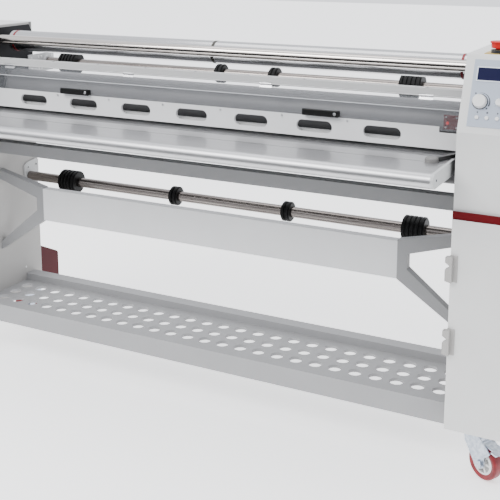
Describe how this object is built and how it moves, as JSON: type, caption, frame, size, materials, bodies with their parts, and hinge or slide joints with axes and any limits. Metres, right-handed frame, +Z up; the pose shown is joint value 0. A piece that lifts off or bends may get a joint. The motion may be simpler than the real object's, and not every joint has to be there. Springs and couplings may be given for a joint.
{
  "type": "cold roll laminator",
  "caption": "Wide floor-standing cold roll laminator: end cabinets on castors, nip rollers behind a slotted guard, folding infeed table, film shafts and a perforated tray.",
  "frame": {"origin": "centre of the footprint on the floor", "axes": "+X along the rollers to the cabinet with the controls, +Y from the operator to the rear, +Z up"},
  "size_m": [2.128, 0.6539, 1.216],
  "materials": {
    "cabinet_paint": "fine-textured satin paint",
    "stripe_red": "satin paint",
    "cover_charcoal": "satin paint",
    "frame_grey": "satin paint",
    "foot_red": "satin paint",
    "tray_grey": "satin paint",
    "beam_paint": "satin paint",
    "bracket_grey": "satin paint",
    "bed_steel": "dull",
    "bracket_steel": "satin paint",
    "rail_grey": "satin paint",
    "screw_steel": "plain",
    "clear_sheet": "clear, polished",
    "slot_plate_white": "satin paint",
    "handle_grey": "moulded",
    "interlock_grey": "satin paint",
    "interlock_red": "moulded",
    "table_aluminium": "brushed lengthwise, clear anodised",
    "end_cap_white": "moulded",
    "arm_dark": "satin paint",
    "panel_blue": "matte printed film",
    "screen_navy": "clear window over a dark display",
    "knob_white": "moulded",
    "button_white": "moulded",
    "estop_yellow": "moulded",
    "estop_red": "moulded",
    "roller_rubber": "ground smooth",
    "roller_steel": "turned",
    "bearing_iron": "machined",
    "cylinder_aluminium": "anodised",
    "idler_aluminium": "satin anodised",
    "rod_chrome": "ground and plated",
    "shaft_steel": "turned",
    "chuck_black": "ribbed",
    "motor_grey": "satin paint",
    "inlet_black": "moulded",
    "castor_zinc": "bright zinc plate",
    "wheel_red": "cast polyurethane on a white nylon hub"
  },
  "bodies": {
    "frame": {"beam_brackets": "bracket_grey", "bottom_bearings": "bearing_iron", "cabinet_lower_left": "cabinet_paint", "cabinet_lower_right": "cabinet_paint", "cabinet_stripes": "stripe_red", "cabinet_upper_left": "cabinet_paint", "cabinet_upper_right": "cabinet_paint", "control_panel": "panel_blue", "crossbeam": "bracket_grey", "drive_motor": "motor_grey", "estop_base": "estop_yellow", "feed_bed": "bed_steel", "fixed_screws": "screw_steel", "front_beam": "beam_paint", "guard_rail": "rail_grey", "inner_covers": "cover_charcoal", "interlock_plate": "interlock_grey", "lcd_screen": "screen_navy", "lift_cylinders": "cylinder_aluminium", "power_inlet": "inlet_black", "rear_feet": "foot_red", "shaft_brackets": "bracket_steel", "shaft_cradles": "frame_grey", "side_frames": "frame_grey", "tray": "tray_grey"},
    "guard": {"guard_panel": "clear_sheet", "guard_slot_plate": "slot_plate_white", "guard_fittings": "screw_steel", "guard_handles": "handle_grey"},
    "table": {"infeed_table": "table_aluminium", "table_end_caps": "end_cap_white", "table_arms": "arm_dark"},
    "top_carriage": {"top_bearing_blocks": "bearing_iron"},
    "top_roller": {"top_roller_sleeve": "roller_rubber", "top_roller_shaft": "roller_steel"},
    "bottom_roller": {"bottom_roller_sleeve": "roller_rubber", "bottom_roller_shaft": "roller_steel"},
    "idler": {"idler_tube": "idler_aluminium"},
    "guide": {"guide_rod": "rod_chrome"},
    "supply": {"supply_shaft": "shaft_steel", "supply_chucks": "chuck_black"},
    "takeup": {"takeup_shaft": "shaft_steel", "takeup_chucks": "chuck_black"},
    "speed_knob": {"speed_knob": "knob_white"},
    "mode_knob": {"mode_knob": "knob_white"},
    "button_reverse": {"button_reverse": "button_white"},
    "button_stop": {"button_stop": "button_white"},
    "button_start": {"button_start": "button_white"},
    "estop": {"estop_button": "estop_red"},
    "interlock": {"interlock_plunger": "interlock_red"},
    "castor_fork_front_right": {"castor_fork_front_right": "castor_zinc"},
    "castor_wheel_front_right": {"castor_wheel_front_right": "wheel_red"},
    "castor_fork_front_left": {"castor_fork_front_left": "castor_zinc"},
    "castor_wheel_front_left": {"castor_wheel_front_left": "wheel_red"},
    "castor_fork_rear_right": {"castor_fork_rear_right": "castor_zinc"},
    "castor_wheel_rear_right": {"castor_wheel_rear_right": "wheel_red"},
    "castor_fork_rear_left": {"castor_fork_rear_left": "castor_zinc"},
    "castor_wheel_rear_left": {"castor_wheel_rear_left": "wheel_red"},
    "castor_brake_front_right": {"castor_brake_front_right": "castor_zinc"},
    "castor_brake_front_left": {"castor_brake_front_left": "castor_zinc"}
  },
  "joints": [
    {"name": "guard_hinge", "type": "hinge", "parent": "frame", "child": "guard", "pos_m": [0, -0.051, 1.056], "axis": [-1, 0, 0], "range_deg": [0, 95]},
    {"name": "table_fold", "type": "hinge", "parent": "frame", "child": "table", "pos_m": [0, -0.082, 0.866], "axis": [1, 0, 0], "range_deg": [0, 88]},
    {"name": "roller_lift", "type": "slide", "parent": "frame", "child": "top_carriage", "axis": [0, 0, 1], "range_m": [0, 0.028]},
    {"name": "top_roller_spin", "type": "hinge", "parent": "top_carriage", "child": "top_roller", "pos_m": [0, 0.068, 0.9649], "axis": [1, 0, 0], "continuous": true},
    {"name": "bottom_roller_spin", "type": "hinge", "parent": "frame", "child": "bottom_roller", "pos_m": [0, 0.068, 0.8445], "axis": [1, 0, 0], "continuous": true},
    {"name": "idler_spin", "type": "hinge", "parent": "frame", "child": "idler", "pos_m": [0, 0.079, 1.125], "axis": [1, 0, 0], "continuous": true},
    {"name": "guide_rod_spin", "type": "hinge", "parent": "frame", "child": "guide", "pos_m": [0, 0.006, 1.136], "axis": [1, 0, 0], "continuous": true},
    {"name": "supply_spin", "type": "hinge", "parent": "frame", "child": "supply", "pos_m": [0, 0.283, 1.025], "axis": [1, 0, 0], "continuous": true},
    {"name": "takeup_spin", "type": "hinge", "parent": "frame", "child": "takeup", "pos_m": [0, 0.159, 0.603], "axis": [1, 0, 0], "continuous": true},
    {"name": "speed_knob_turn", "type": "hinge", "parent": "frame", "child": "speed_knob", "pos_m": [0.91, -0.14261, 1.06478], "axis": [0, -0.9304, 0.3665], "range_deg": [0, 270]},
    {"name": "mode_knob_turn", "type": "hinge", "parent": "frame", "child": "mode_knob", "pos_m": [0.961, -0.14261, 1.06478], "axis": [0, -0.9304, 0.3665], "range_deg": [0, 270]},
    {"name": "press_reverse", "type": "slide", "parent": "frame", "child": "button_reverse", "axis": [0, 0.9304, -0.3665], "range_m": [0, 0.003], "stiffness_N_per_m": 300},
    {"name": "press_stop", "type": "slide", "parent": "frame", "child": "button_stop", "axis": [0, 0.9304, -0.3665], "range_m": [0, 0.003], "stiffness_N_per_m": 300},
    {"name": "press_start", "type": "slide", "parent": "frame", "child": "button_start", "axis": [0, 0.9304, -0.3665], "range_m": [0, 0.003], "stiffness_N_per_m": 300},
    {"name": "press_estop", "type": "slide", "parent": "frame", "child": "estop", "axis": [0, 0, -1], "range_m": [0, 0.004]},
    {"name": "press_interlock", "type": "slide", "parent": "frame", "child": "interlock", "axis": [0, 1, 0], "range_m": [0, 0.003], "stiffness_N_per_m": 300},
    {"name": "swivel_front_right", "type": "hinge", "parent": "frame", "child": "castor_fork_front_right", "pos_m": [0.9355, -0.103, 0.1], "axis": [0, 0, 1], "continuous": true},
    {"name": "roll_front_right", "type": "hinge", "parent": "castor_fork_front_right", "child": "castor_wheel_front_right", "pos_m": [0.96599, -0.12018, 0.05], "axis": [0.4909, 0.8712, 0], "continuous": true},
    {"name": "brake_front_right", "type": "hinge", "parent": "castor_fork_front_right", "child": "castor_brake_front_right", "pos_m": [0.96686, -0.12067, 0.11], "axis": [0.4909, 0.8712, 0], "range_deg": [0, 8]},
    {"name": "swivel_front_left", "type": "hinge", "parent": "frame", "child": "castor_fork_front_left", "pos_m": [-0.9355, -0.103, 0.1], "axis": [0, 0, 1], "continuous": true},
    {"name": "roll_front_left", "type": "hinge", "parent": "castor_fork_front_left", "child": "castor_wheel_front_left", "pos_m": [-0.96581, -0.1205, 0.05], "axis": [0.5, -0.866, 0], "continuous": true},
    {"name": "brake_front_left", "type": "hinge", "parent": "castor_fork_front_left", "child": "castor_brake_front_left", "pos_m": [-0.96668, -0.121, 0.11], "axis": [0.5, -0.866, 0], "range_deg": [0, 8]},
    {"name": "swivel_rear_right", "type": "hinge", "parent": "frame", "child": "castor_fork_rear_right", "pos_m": [0.95, 0.258, 0.1], "axis": [0, 0, 1], "continuous": true},
    {"name": "roll_rear_right", "type": "hinge", "parent": "castor_fork_rear_right", "child": "castor_wheel_rear_right", "pos_m": [0.97008, 0.22933, 0.05], "axis": [0.8192, 0.5736, 0], "continuous": true},
    {"name": "swivel_rear_left", "type": "hinge", "parent": "frame", "child": "castor_fork_rear_left", "pos_m": [-0.95, 0.258, 0.1], "axis": [0, 0, 1], "continuous": true},
    {"name": "roll_rear_left", "type": "hinge", "parent": "castor_fork_rear_left", "child": "castor_wheel_rear_left", "pos_m": [-0.95608, 0.22353, 0.05], "axis": [0.9848, -0.1736, 0], "continuous": true}
  ],
  "couplings": [
    {"joint": "top_roller_spin", "follows": "bottom_roller_spin", "ratio": -1}
  ]
}
